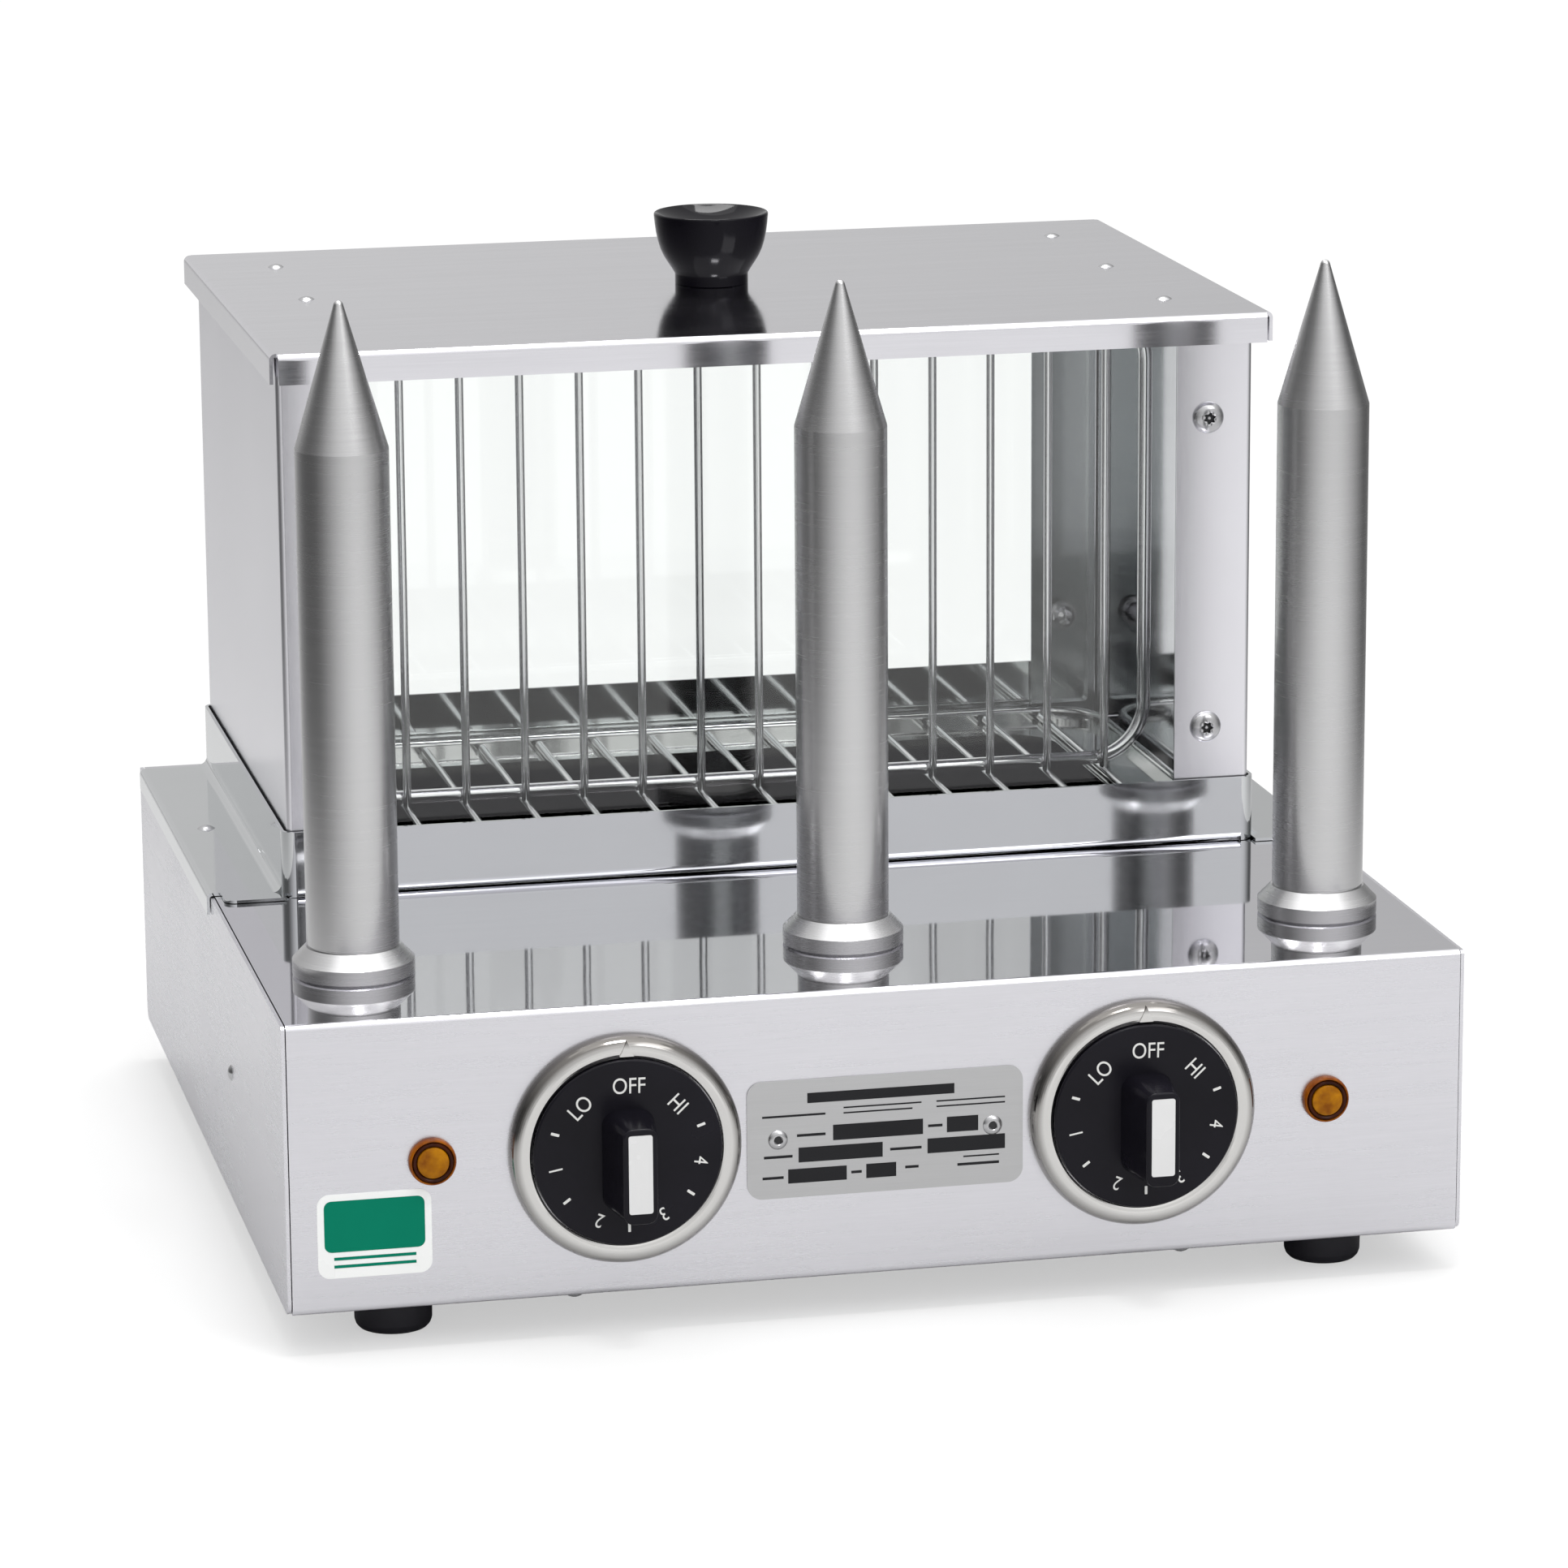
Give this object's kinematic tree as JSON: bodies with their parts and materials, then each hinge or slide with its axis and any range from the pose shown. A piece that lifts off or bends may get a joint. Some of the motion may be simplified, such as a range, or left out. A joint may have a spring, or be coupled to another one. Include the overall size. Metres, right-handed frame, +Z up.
{
  "type": "hot dog steamer",
  "caption": "Counter-top stainless hot dog steamer: glazed cabinet with lift-off lid and hood over a water tank, wire divider rack, heated bun spikes and two control dials on the base.",
  "frame": {"origin": "at counter level, under the middle of the object's whole bounding box", "axes": "+Z up, the control panel faces -Y, +X to the operator's right; the two sides mirror each other in X"},
  "size_m": [0.3956, 0.4086, 0.3333],
  "materials": {
    "stainless_brushed": "fine horizontal grain",
    "stainless_polished": "mirror polished",
    "stainless_tank": "satin pressed sheet",
    "stainless_wire": "bright drawn wire",
    "fastener_steel": "bright",
    "spike_aluminium": "fine turned",
    "heater_steel": "dull",
    "foot_rubber": "matt moulded",
    "black_plastic": "gloss moulded",
    "white_plastic": "semi-gloss",
    "regulator_plastic": "matt moulded",
    "gland_plastic": "matt moulded",
    "cream_plastic": "matt moulded",
    "amber_lens": "clear amber",
    "plate_aluminium": "satin anodised",
    "label_vinyl": "satin film",
    "clear_glass": "clear toughened",
    "earth_brass": "plain"
  },
  "bodies": {
    "base": {"bottom_plate": "stainless_brushed", "bottom_screws": "fastener_steel", "cable_gland": "gland_plastic", "earth_stud": "earth_brass", "feet": "foot_rubber", "foot_screws": "fastener_steel", "front_top_shell": "stainless_brushed", "gland_nut": "gland_plastic", "info_label": "label_vinyl", "lamp_bodies": "regulator_plastic", "left_bezel": "stainless_polished", "left_lamp_lens": "amber_lens", "left_regulator": "regulator_plastic", "left_side_panel": "stainless_brushed", "left_spike": "spike_aluminium", "middle_spike": "spike_aluminium", "plate_rivets": "fastener_steel", "rating_plate": "plate_aluminium", "rear_panel": "stainless_brushed", "right_bezel": "stainless_polished", "right_lamp_lens": "amber_lens", "right_regulator": "regulator_plastic", "right_side_panel": "stainless_brushed", "right_spike": "spike_aluminium", "side_screws": "fastener_steel", "spike_heaters": "heater_steel", "spike_nuts": "fastener_steel", "tank_heater": "heater_steel", "tank_surround": "stainless_polished", "terminal_block": "cream_plastic", "thermal_cutout": "heater_steel", "water_tank": "stainless_tank", "wing_rivets": "fastener_steel"},
    "left_dial": {"left_dial": "black_plastic", "left_dial_insert": "white_plastic", "left_spindle": "fastener_steel"},
    "right_dial": {"right_dial": "black_plastic", "right_dial_insert": "white_plastic", "right_spindle": "fastener_steel"},
    "hood": {"hood_left_panel": "stainless_brushed", "hood_right_panel": "stainless_brushed", "front_glass": "clear_glass", "rear_glass": "clear_glass", "glass_screws": "fastener_steel", "glass_nuts": "fastener_steel"},
    "lid": {"lid_panel": "stainless_brushed", "lid_rivets": "fastener_steel", "lid_stiffeners": "stainless_brushed", "lid_knob": "black_plastic", "knob_screw": "fastener_steel"},
    "rack": {"rack_frame": "stainless_wire", "rack_rods": "stainless_wire", "rack_cross_wires": "stainless_wire"}
  },
  "joints": [
    {"name": "left_dial_turn", "type": "hinge", "parent": "base", "child": "left_dial", "pos_m": [-0.0862, -0.17738, 0.064], "axis": [0, 1, 0], "continuous": true},
    {"name": "right_dial_turn", "type": "hinge", "parent": "base", "child": "right_dial", "pos_m": [0.0862, -0.17738, 0.064], "axis": [0, 1, 0], "continuous": true},
    {"name": "hood_lift", "type": "slide", "parent": "base", "child": "hood", "axis": [0, 0, 1], "range_m": [0, 0.2]},
    {"name": "lid_lift", "type": "slide", "parent": "hood", "child": "lid", "axis": [0, 0, 1], "range_m": [0, 0.2]},
    {"name": "rack_lift", "type": "slide", "parent": "base", "child": "rack", "axis": [0, 0, 1], "range_m": [0, 0.16]}
  ],
  "couplings": [
    {"joint": "rack_lift", "follows": "lid_lift", "ratio": 0.8}
  ]
}
